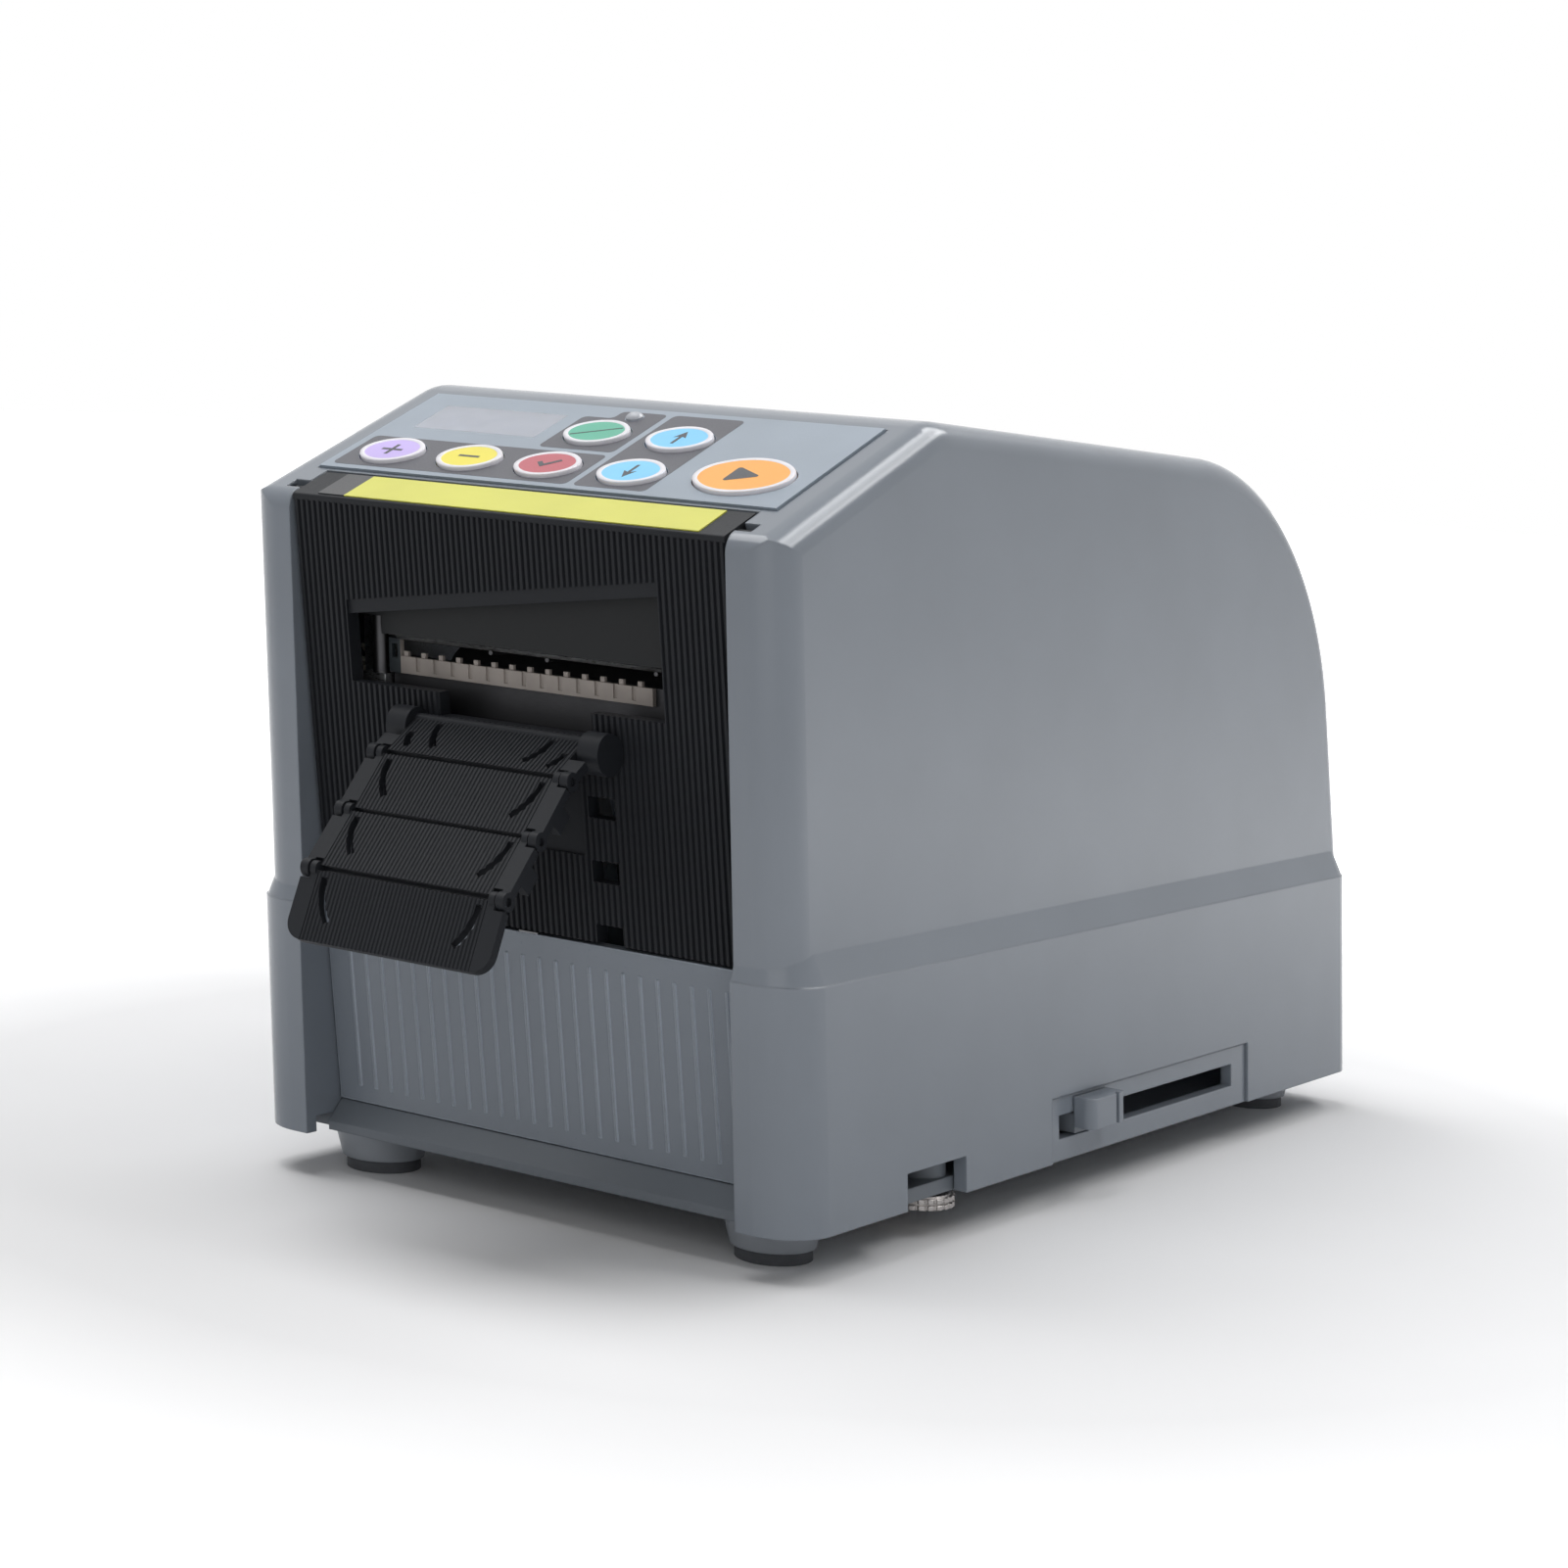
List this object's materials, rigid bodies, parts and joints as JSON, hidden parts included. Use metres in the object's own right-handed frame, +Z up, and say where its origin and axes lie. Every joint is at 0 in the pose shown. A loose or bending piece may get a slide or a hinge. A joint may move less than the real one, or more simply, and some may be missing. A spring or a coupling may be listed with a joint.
{
  "type": "electric tape dispenser",
  "caption": "Desktop automatic tape dispenser with a keypad deck, hinged ribbed front cover, folding tray, roller feed and guillotine cutter.",
  "frame": {"origin": "middle of the footprint of the whole part at rest, on the desk plane under the feet", "axes": "+X is the side with the slider, -Y is the front with the outlet and the tray, +Z is up"},
  "size_m": [0.1196, 0.245, 0.14],
  "materials": {
    "housing_grey": "satin moulded grey",
    "base_grey": "moulded dark grey",
    "cover_black": "ribbed black",
    "band_yellow": "plain yellow film",
    "overlay_grey": "satin film",
    "lens_clear": "clear window",
    "lcd_grey": "liquid crystal panel",
    "lens_pale": "pale lens",
    "key_plus": "lavender film",
    "key_minus": "yellow film",
    "key_select": "rose film",
    "key_mode": "green film",
    "key_start": "orange film",
    "key_arrow": "sky blue film",
    "board_green": "circuit board",
    "steel": "plain steel",
    "plated": "bright plated",
    "roller_rubber": "ground rubber",
    "pad_rubber": "black rubber",
    "gear_white": "natural white",
    "gear_brass": "plain brass",
    "inner_black": "plain black"
  },
  "bodies": {
    "body": {"upper_housing": "housing_grey", "base_chassis": "base_grey", "slider_plate": "housing_grey", "lower_front_panel": "housing_grey", "cover_catch": "steel", "keypad_overlay": "overlay_grey", "display_window": "lens_clear", "display_module": "lcd_grey", "indicator_lens": "lens_pale", "keypad_board": "board_green", "control_board": "board_green", "frame_plate_left": "steel", "frame_plate_right": "steel", "feed_motor": "steel", "cutter_motor": "steel", "idler_axle": "steel", "fixed_blade": "steel", "outlet_comb": "steel", "stripper_wires": "steel", "guide_rods": "steel", "guide_bar": "steel", "rear_axle": "steel", "foot_bodies": "base_grey", "foot_pads": "pad_rubber", "housing_screws": "steel", "dc_jack": "inner_black", "switch_frame": "inner_black"},
    "cover": {"front_cover": "cover_black", "cover_band": "band_yellow"},
    "tray_1": {"tray_plate_1": "cover_black"},
    "tray_2": {"tray_plate_2": "cover_black"},
    "tray_3": {"tray_plate_3": "cover_black"},
    "tray_4": {"tray_plate_4": "cover_black"},
    "feed": {"feed_shaft": "steel", "feed_roller": "roller_rubber", "feed_gear": "gear_white"},
    "pinch": {"pinch_shaft": "steel", "pinch_roller": "roller_rubber"},
    "feed_drive": {"feed_pinion": "gear_brass"},
    "crank": {"crank": "steel", "crank_gear": "gear_brass"},
    "idler": {"idler_gear": "gear_white"},
    "cutter_drive": {"cutter_pinion": "gear_brass"},
    "blade": {"blade_carrier": "inner_black", "moving_blade": "steel"},
    "carriage": {"roll_carriage": "base_grey", "carriage_knob": "housing_grey", "carriage_axle": "steel"},
    "front_roller": {"front_support_roller": "inner_black"},
    "rear_roller": {"rear_support_roller": "inner_black"},
    "thumb": {"thumb_screw": "plated"},
    "rocker": {"switch_rocker": "inner_black"},
    "key_plus": {"key_plus": "key_plus"},
    "key_minus": {"key_minus": "key_minus"},
    "key_select": {"key_select": "key_select"},
    "key_mode": {"key_mode": "key_mode"},
    "key_up": {"key_up": "key_arrow"},
    "key_down": {"key_down": "key_arrow"},
    "key_start": {"key_start": "key_start"}
  },
  "joints": [
    {"name": "cover_hinge", "type": "hinge", "parent": "body", "child": "cover", "pos_m": [-0.0018, -0.08419, 0.12012], "axis": [1, 0, 0], "range_deg": [-85, 0]},
    {"name": "tray_pivot", "type": "hinge", "parent": "cover", "child": "tray_1", "pos_m": [-0.0018, -0.08964, 0.0843], "axis": [1, 0, 0], "range_deg": [-35, 35]},
    {"name": "tray_joint_1", "type": "hinge", "parent": "tray_1", "child": "tray_2", "pos_m": [-0.0018, -0.09837, 0.07884], "axis": [1, 0, 0], "range_deg": [-30, 5]},
    {"name": "tray_joint_2", "type": "hinge", "parent": "tray_2", "child": "tray_3", "pos_m": [-0.0018, -0.10712, 0.06978], "axis": [1, 0, 0], "range_deg": [-30, 5]},
    {"name": "tray_joint_3", "type": "hinge", "parent": "tray_3", "child": "tray_4", "pos_m": [-0.0018, -0.11603, 0.06087], "axis": [1, 0, 0], "range_deg": [-30, 5]},
    {"name": "key_plus_press", "type": "slide", "parent": "body", "child": "key_plus", "axis": [0, 0.3665, -0.9304], "range_m": [0, 0.0005], "stiffness_N_per_m": 1500},
    {"name": "key_minus_press", "type": "slide", "parent": "body", "child": "key_minus", "axis": [0, 0.3665, -0.9304], "range_m": [0, 0.0005], "stiffness_N_per_m": 1500},
    {"name": "key_select_press", "type": "slide", "parent": "body", "child": "key_select", "axis": [0, 0.3665, -0.9304], "range_m": [0, 0.0005], "stiffness_N_per_m": 1500},
    {"name": "key_mode_press", "type": "slide", "parent": "body", "child": "key_mode", "axis": [0, 0.3665, -0.9304], "range_m": [0, 0.0005], "stiffness_N_per_m": 1500},
    {"name": "key_up_press", "type": "slide", "parent": "body", "child": "key_up", "axis": [0, 0.3665, -0.9304], "range_m": [0, 0.0005], "stiffness_N_per_m": 1500},
    {"name": "key_down_press", "type": "slide", "parent": "body", "child": "key_down", "axis": [0, 0.3665, -0.9304], "range_m": [0, 0.0005], "stiffness_N_per_m": 1500},
    {"name": "key_start_press", "type": "slide", "parent": "body", "child": "key_start", "axis": [0, 0.3665, -0.9304], "range_m": [0, 0.0005], "stiffness_N_per_m": 1500},
    {"name": "feed_spin", "type": "hinge", "parent": "body", "child": "feed", "pos_m": [-0.0018, -0.05803, 0.0862], "axis": [1, 0, 0], "continuous": true},
    {"name": "pinch_spin", "type": "hinge", "parent": "body", "child": "pinch", "pos_m": [-0.0018, -0.05803, 0.10155], "axis": [1, 0, 0], "continuous": true},
    {"name": "feed_drive_spin", "type": "hinge", "parent": "body", "child": "feed_drive", "pos_m": [-0.0018, -0.05803, 0.0638], "axis": [1, 0, 0], "continuous": true},
    {"name": "crank_turn", "type": "hinge", "parent": "body", "child": "crank", "pos_m": [-0.0018, -0.07103, 0.1055], "axis": [1, 0, 0], "range_deg": [0, 180]},
    {"name": "idler_turn", "type": "hinge", "parent": "body", "child": "idler", "pos_m": [-0.0018, -0.06524, 0.08386], "axis": [1, 0, 0], "range_deg": [-72, 0]},
    {"name": "cutter_drive_turn", "type": "hinge", "parent": "body", "child": "cutter_drive", "pos_m": [-0.0018, -0.05944, 0.06223], "axis": [1, 0, 0], "range_deg": [0, 180]},
    {"name": "blade_slide", "type": "slide", "parent": "body", "child": "blade", "axis": [0, 0, -1], "range_m": [0, 0.0054]},
    {"name": "carriage_slide", "type": "slide", "parent": "body", "child": "carriage", "axis": [0, 1, 0], "range_m": [0, 0.05]},
    {"name": "front_roller_spin", "type": "hinge", "parent": "carriage", "child": "front_roller", "pos_m": [-0.0018, 0.00787, 0.026], "axis": [1, 0, 0], "continuous": true},
    {"name": "rear_roller_spin", "type": "hinge", "parent": "body", "child": "rear_roller", "pos_m": [-0.0018, 0.09847, 0.026], "axis": [1, 0, 0], "continuous": true},
    {"name": "thumb_turn", "type": "hinge", "parent": "body", "child": "thumb", "pos_m": [0.0477, -0.04003, 0], "axis": [0, 0, 1], "continuous": true},
    {"name": "rocker_tip", "type": "hinge", "parent": "body", "child": "rocker", "pos_m": [-0.0018, 0.11687, 0.0272], "axis": [1, 0, 0], "range_deg": [0, 14]}
  ],
  "couplings": [
    {"joint": "pinch_spin", "follows": "feed_spin", "ratio": -1.5},
    {"joint": "feed_drive_spin", "follows": "feed_spin", "ratio": -2.5},
    {"joint": "crank_turn", "follows": "blade_slide", "rad_per_m": 581.78},
    {"joint": "cutter_drive_turn", "follows": "blade_slide", "rad_per_m": 581.78},
    {"joint": "idler_turn", "follows": "blade_slide", "rad_per_m": -232.71}
  ]
}
